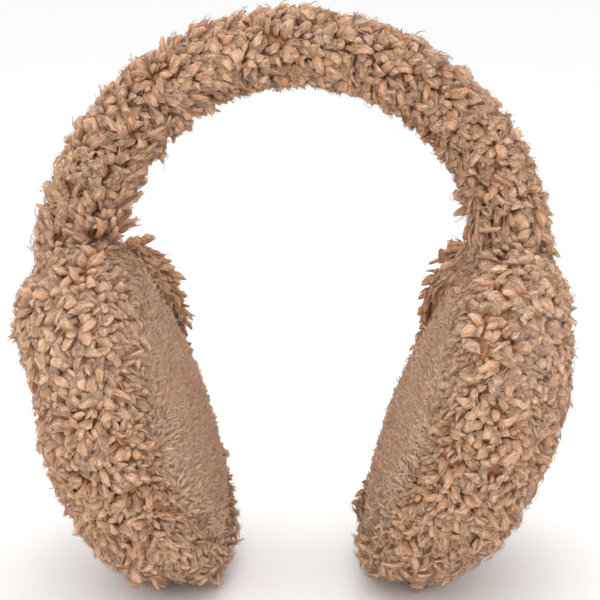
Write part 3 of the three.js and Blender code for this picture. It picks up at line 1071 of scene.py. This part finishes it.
@dataclass
class Pad:
    """A round ear pad: a padded shell with deep curly fur and a fleece face set into it."""

    form: PadForm
    seed: int
    backing_depth: float = 6.8
    rim_backing_depth: float = 2.6
    lock_spacing: float = 1.87
    tuft_spacing: float = 0.92
    hairs: float = 4.5
    sleeve_reach: float = 9.5
    sleeve_rise: float = 32.0
    shell_filling: Filling = field(default_factory=lambda: Filling(voxel=5.0, cap=1.5))
    face_filling: Filling = field(default_factory=lambda: Filling(voxel=4.0, cap=1.2))

    def build(self, band: BandForm) -> list[bpy.types.Object]:
        """Builds all the pad's pieces.

        Args:
            band: The headband, which the pad's fur leaves room for.

        Returns:
            The pieces.
        """
        shell_node = f"{self.form.name}_pad_shell"
        face_node = f"{self.form.name}_pad_face"
        shell = self._shell()
        bed = self._fur_bed(shell, band)
        fur = LOCK.grow(f"{self.form.name}_pad_fur", bed, FUR_MATTED)
        hair_bed = strays(bed, self.hairs, self.seed + 7)
        hairs = HAIR.grow(f"{self.form.name}_pad_hairs", hair_bed, FUR_MATTED)
        face = self._face()
        tuft_bed = self._fleece_bed(face)
        tufts = NAP.grow(f"{self.form.name}_face_fleece", tuft_bed, FLEECE_MATTED)
        dress(shell, SHADED_BACKING, Slot.FUR, shell_node)
        dress(fur, TEDDY, Slot.FUR, shell_node)
        dress(hairs, TEDDY, Slot.FUR, shell_node)
        dress(face, FLEECE, Slot.FLEECE, face_node)
        dress(tufts, FLEECE, Slot.FLEECE, face_node)
        return [shell, fur, hairs, face, tufts]

    def _sphere(self, name: str) -> tuple[bpy.types.Object, Array, Array]:
        """Adds a ball to be shaped.

        Args:
            name: The piece's name.

        Returns:
            The ball, and for each vertex its share of the way from the crown's pole to the
            face's, and its turn from the top.
        """
        deselect()
        bpy.ops.mesh.primitive_uv_sphere_add(segments=72, ring_count=48, radius=1)
        piece = name_new(name)
        bpy.ops.object.mode_set(mode="EDIT")
        bpy.ops.mesh.select_all(action="SELECT")
        bpy.ops.transform.rotate(value=math.pi / 2, orient_axis="Y", center_override=(0, 0, 0))
        bpy.ops.object.mode_set(mode="OBJECT")
        points = read_points(piece)
        polar = np.arccos(np.clip(-points[:, 0], -1, 1)) / math.pi
        return piece, polar, np.arctan2(points[:, 1], points[:, 2])

    def _shell(self) -> bpy.types.Object:
        """Builds the padded form under the deep fur, closed behind the face."""
        form = self.form
        piece, polar, turn = self._sphere(f"{form.name}_pad_cushion")
        rim_at = 0.82
        share = np.minimum(polar / rim_at, 1)
        places, facing = form.surface(share, turn)
        depth = blend(self.backing_depth, self.rim_backing_depth, smooth(share, 0.78, 1))
        depth = depth - form.fuller(form.to_row(places), share, turn)
        places -= facing * depth[:, None]
        back = np.clip((polar - rim_at) / (1 - rim_at), 0, 1)
        sunk = form.face_edge() - 3
        places[:, 0] = np.where(back > 0, blend(places[:, 0], sunk, smooth(back, 0, 0.3)), places[:, 0])
        centre = np.array([0, 0, -form.face_drop])
        inner = places - centre
        inner[:, 1:] *= (1 - back)[:, None]
        places = np.where((back > 0)[:, None], inner + centre, places)
        write_points(piece, form.to_row(places) * METRE)
        self.shell_filling.plump(piece)
        return piece

    def _face(self) -> bpy.types.Object:
        """Builds the low cushion of the ear's face."""
        form = self.form
        piece, polar, turn = self._sphere(f"{form.name}_face_cushion")
        edge = form.face_edge()
        front = polar > 0.5
        reach = np.where(front, np.minimum(1, (1 - polar) / 0.44), np.minimum(1, polar / 0.44))
        far = -form.side * turn
        dip = form.face_dip * bell(far, math.radians(60), math.radians(45)) * smooth(reach, 0.3, 1)
        crown = edge - 1.0 + (form.face_rise + 1.0) * (1 - reach**3) - dip
        floor = edge - form.face_recess + 0.3
        radius = (form.face_radius + 1.0) * reach
        x = np.where(front, crown, floor)
        places = np.stack([x, radius * np.sin(turn), radius * np.cos(turn) - form.face_drop], axis=-1)
        write_points(piece, form.to_row(places) * METRE)
        self.face_filling.plump(piece)
        return piece

    def _fur_bed(self, shell: bpy.types.Object, band: BandForm) -> LockBed:
        """Lays out the deep fur: fuller shoulders, popcorn sides, leafy bottoms and a short rim, with
        painted light on the top shoulders and bottoms and painted shade on the far rim.
        """
        form = self.form
        spots = scatter(shell, self.lock_spacing, self.seed, self._closer)
        share, turn, _ = form.locate(spots.rest)
        local = form.to_pad(spots.rest)
        _, _, away = band.locate(spots.rest)
        in_sleeve = (away < self.sleeve_reach) & (spots.rest[:, 2] > form.middle[2] + self.sleeve_rise)
        from_axis = np.hypot(local[:, 1], local[:, 2] + form.face_drop)
        on_face = (from_axis < form.face_radius - 1) & (local[:, 0] > 0)
        keep = ~in_sleeve & ~on_face
        spots = spots.keep(keep)
        share, turn, local = share[keep], turn[keep], local[keep]
        from_top = abs(turn)
        rim = smooth(share, 0.74, 1.0)
        top = shoulder_bell(turn, share)
        low = smooth(from_top, math.radians(100), math.radians(160))
        # foot serves only to lighten the bottoms' locks: painted light.
        foot = smooth(from_top, math.radians(138), math.radians(170))

        down = np.tile([0.0, 0.0, -1.0], (len(local), 1))
        centre = form.to_row(np.array([[20.0, 0.0, -form.face_drop - 12.0]]))[0]
        to_face = unit(centre - spots.places)
        swirl = drift(spots.places, 11.0, self.seed * 0.37)
        outward = unit(spots.places - np.array(form.middle))
        nap = down * (0.55 + 0.4 * low)[:, None] + 1.15 * swirl * (1 - 0.35 * low - 0.4 * rim)[:, None]
        nap = nap + to_face * (0.8 * rim)[:, None] + outward * (0.2 * low)[:, None]

        far = -form.side * turn
        far_rim = bell(far, math.radians(50), math.radians(26)) * smooth(share, 0.66, 0.86)
        length = blend(6.3, 4.3, rim) + 0.4 * top + blend(1.8, 1.5, rim) * low + 3.5 * far_rim
        width = blend(3.1, 2.1, rim) + 1.3 * top + 0.2 * low
        return bed_for(
            spots,
            nap,
            self.seed + 1,
            length=length,
            width=width,
            lean=0.35 + 0.5 * top + 0.25 * low + 0.35 * rim,
            curl=2.7 - 1.3 * top - 0.8 * low - 0.8 * rim + 0.1 * far_rim,
            flatness=0.74 - 0.2 * top - 0.08 * low,
            point=0.15 + 0.35 * low + 0.2 * rim,
            # Tone: painted light on the top shoulders and the bottoms, painted shade on the far rim, a
            # little darker at the rim, with random tone added in bed_for.
            tint=0.85 * top - 0.1 * rim + 0.3 * low + 1.2 * foot - 1.6 * far_rim,
            wave=0.05 + 0.05 * top,
        )

    def _closer(self, places: Array) -> Array:
        """Returns how much closer than on the shell the locks stand at each place."""
        share, _, _ = self.form.locate(places)
        return blend(1.0, 0.72, smooth(share, 0.78, 1.0))

    def _fleece_bed(self, face: bpy.types.Object) -> LockBed:
        """Lays out the short fleece of the face."""
        form = self.form
        spots = scatter(face, self.tuft_spacing, self.seed + 3)
        local = form.to_pad(spots.rest)
        from_axis = np.hypot(local[:, 1], local[:, 2] + form.face_drop)
        keep = (local[:, 0] > form.face_edge() - 5.5) & (from_axis < form.face_radius + 0.8)
        spots, local, from_axis = spots.keep(keep), local[keep], from_axis[keep]
        swirl = drift(spots.places, 14.0, self.seed * 0.71)
        edge = smooth(from_axis, 32, 52)
        near = smooth(form.side * local[:, 1], -10, 20)
        nap = np.array([0.0, 0.8, 0.5]) + 0.8 * swirl
        return bed_for(
            spots,
            nap,
            self.seed + 4,
            length=2.6 + 0.6 * edge + 1.4 * edge * near,
            width=0.62 + 0.3 * edge,
            lean=0.95 - 0.25 * edge,
            curl=0.7 + 0.5 * edge,
            flute=0.0,
            spikes=0.0,
        )


@dataclass
class Headband:
    """The headband: a padded sleeve round the arch and its arms, covered in curly fur."""

    form: BandForm
    seed: int
    backing_depth: float = 4.9
    lock_spacing: float = 1.76
    hairs: float = 4.5
    sides: int = 20
    filling: Filling = field(default_factory=lambda: Filling(voxel=4.0, cap=1.0))

    def build(self, pads: list[PadForm]) -> list[bpy.types.Object]:
        """Builds the headband's pieces.

        Args:
            pads: The pads, inside which the sleeve has no fur.

        Returns:
            The pieces.
        """
        sleeve = self._sleeve()
        bed = self._fur_bed(sleeve, pads)
        fur = LOCK.grow("headband_fur", bed, FUR_MATTED)
        hair_bed = strays(bed, self.hairs, self.seed + 7)
        hairs = HAIR.grow("headband_hairs", hair_bed, FUR_MATTED)
        dress(sleeve, SHADED_BACKING, Slot.FUR, "headband")
        dress(fur, TEDDY, Slot.FUR, "headband")
        dress(hairs, TEDDY, Slot.FUR, "headband")
        return [sleeve, fur, hairs]

    def _sleeve(self) -> bpy.types.Object:
        """Sweeps a round section up one arm, over the arch and down the other arm."""
        form = self.form
        left, right = form.springs()
        start = np.array(form.centre) + form.radius * np.array([math.cos(left), 0, math.sin(left)])
        up = np.array([math.sin(left), 0, -math.cos(left)])
        down = np.array([math.sin(right), 0, -math.cos(right)])
        arm_left, arm_right = form.arms()
        foot = (start - up * (arm_left - 2)) * METRE
        radius = (form.sleeve - self.backing_depth) * METRE
        deselect()
        circle = {"vertices": self.sides, "radius": radius, "fill_type": "NGON"}
        tilt = math.atan2(up[0], up[2])
        bpy.ops.mesh.primitive_circle_add(location=tuple(foot), rotation=(0, tilt, 0), **circle)
        piece = name_new("headband_sleeve")
        bpy.ops.object.transform_apply()
        bpy.ops.object.mode_set(mode="EDIT")
        bpy.ops.mesh.select_all(action="SELECT")
        self._extrude(up * (arm_left - 2), 4)
        centre = tuple(np.array(form.centre) * METRE)
        bpy.ops.mesh.spin(steps=60, angle=left - right, center=centre, axis=(0, -1, 0))
        self._extrude(down * (arm_right - 2), 4)
        bpy.ops.mesh.select_all(action="SELECT")
        bpy.ops.mesh.remove_doubles(threshold=0.0001)
        bpy.ops.mesh.normals_make_consistent(inside=False)
        bpy.ops.object.mode_set(mode="OBJECT")
        self.filling.plump(piece)
        return piece

    @staticmethod
    def _extrude(move: Array, steps: int) -> None:
        """Extrudes the selected face by a move in millimetres, in equal steps."""
        for _ in range(steps):
            step = {"value": tuple(move * METRE / steps)}
            bpy.ops.mesh.extrude_region_move(TRANSFORM_OT_translate=step)

    def _fur_bed(self, sleeve: bpy.types.Object, pads: list[PadForm]) -> LockBed:
        """Lays out the sleeve's fur, longest along the top and smoother underneath, with painted light
        making its upper side a little lighter.
        """
        form = self.form
        spots = scatter(sleeve, self.lock_spacing, self.seed)
        keep = np.ones(len(spots.places), bool)
        for pad in pads:
            _, _, height = pad.locate(spots.rest)
            keep &= height > -7.0
        spots = spots.keep(keep)
        places, along, _ = form.locate(spots.places)
        out = unit(places - np.array(form.centre))
        above = (spots.normals * out).sum(1)
        swirl = drift(spots.places, 15.0, self.seed * 0.53)
        nap = 0.6 * along - 0.2 * out + 1.05 * swirl
        extra = form.fuller(places) * smooth(-above, -0.2, 0.8)
        return bed_for(
            spots,
            nap,
            self.seed + 1,
            length=6.6 + 0.6 * above + extra,
            width=3.7 + 0.3 * above,
            spikes=0.22,
            lean=0.4 + 0.1 * swirl[:, 0],
            curl=2.6 - 0.2 * above - 0.22 * extra,
            # The upper side's locks are painted a little lighter: painted light.
            tint=0.1 * above,
        )


# Studio


@dataclass(frozen=True)
class Studio:
    """A pale floor, soft light and the camera at the photograph's angle."""

    aim: tuple[float, float, float] = (0.36, 0.0, 103.7)
    distance: float = 650.0
    elevation: float = 12.0
    frame_width: float = 216.0
    sensor: float = 36.0
    floor_size: float = 24.0
    floor_colour: tuple[float, float, float] = (0.96, 0.96, 0.96)
    sky: float = 1.0
    lit_place: tuple[float, float, float] = (0.0, 0.0, 0.09)

    def build(self) -> None:
        """Builds the floor, the sky, the lights and the camera."""
        self._floor()
        self._sky()
        self._lamp("key_light", (-0.35, -1.1, 1.35), size=1.3, power=5.0)
        self._lamp("fill_light", (0.0, -1.3, 0.14), size=1.2, power=8.0)
        self._lamp("top_light", (0.1, 0.05, 1.6), size=1.0, power=5.0)
        self._camera()

    def _floor(self) -> None:
        """Adds the plain floor."""
        deselect()
        bpy.ops.mesh.primitive_plane_add(size=self.floor_size, location=(0, 0, 0))
        floor = name_new("floor")
        paint = Paint("pale_floor")
        surface = {"Base Color": opaque(self.floor_colour), "Roughness": 0.9}
        floor.data.materials.append(paint.finish(surface))

    def _sky(self) -> None:
        """Sets an even white sky."""
        world = bpy.data.worlds.new("soft_sky")
        bpy.context.scene.world = world
        world.use_nodes = True
        sky = world.node_tree.nodes["Background"]
        sky.inputs["Color"].default_value = (1.0, 1.0, 1.0, 1.0)
        sky.inputs["Strength"].default_value = self.sky

    def _lamp(self, name: str, place: tuple[float, float, float], size: float, power: float) -> None:
        """Adds a square soft light that points at the middle of the object.

        Args:
            name: Its name.
            place: Where it hangs, in metres.
            size: Length of its sides, in metres.
            power: Its power in watts.
        """
        data = bpy.data.lights.new(name, "AREA")
        data.size = size
        data.energy = power
        lamp = bpy.data.objects.new(name, data)
        lamp.location = place
        way = Vector(self.lit_place) - Vector(place)
        lamp.rotation_euler = way.to_track_quat("-Z", "Y").to_euler()
        bpy.context.scene.collection.objects.link(lamp)

    def _camera(self) -> None:
        """Adds the camera."""
        data = bpy.data.cameras.new("camera")
        data.sensor_width = self.sensor
        data.lens = self.sensor * self.distance / self.frame_width
        camera = bpy.data.objects.new("camera", data)
        rise = math.radians(self.elevation)
        back = Vector((0, -math.cos(rise), math.sin(rise)))
        camera.location = (Vector(self.aim) + back * self.distance) * METRE
        camera.rotation_euler = (-back).to_track_quat("-Z", "Y").to_euler()
        bpy.context.scene.collection.objects.link(camera)
        bpy.context.scene.camera = camera
        bpy.context.scene.view_settings.view_transform = "Standard"


def main() -> None:
    logging.basicConfig(level=logging.INFO, format="%(message)s")
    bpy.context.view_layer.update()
    noise.seed_set(FIELD_SEED)
    Studio().build()
    pads = [Pad(LEFT, seed=11), Pad(RIGHT, seed=23)]
    pieces = Headband(BAND, seed=5).build([pad.form for pad in pads])
    for pad in pads:
        pieces += pad.build(BAND)
    LOG.info("%d pieces", len(pieces))


if __name__ == "__main__":
    main()
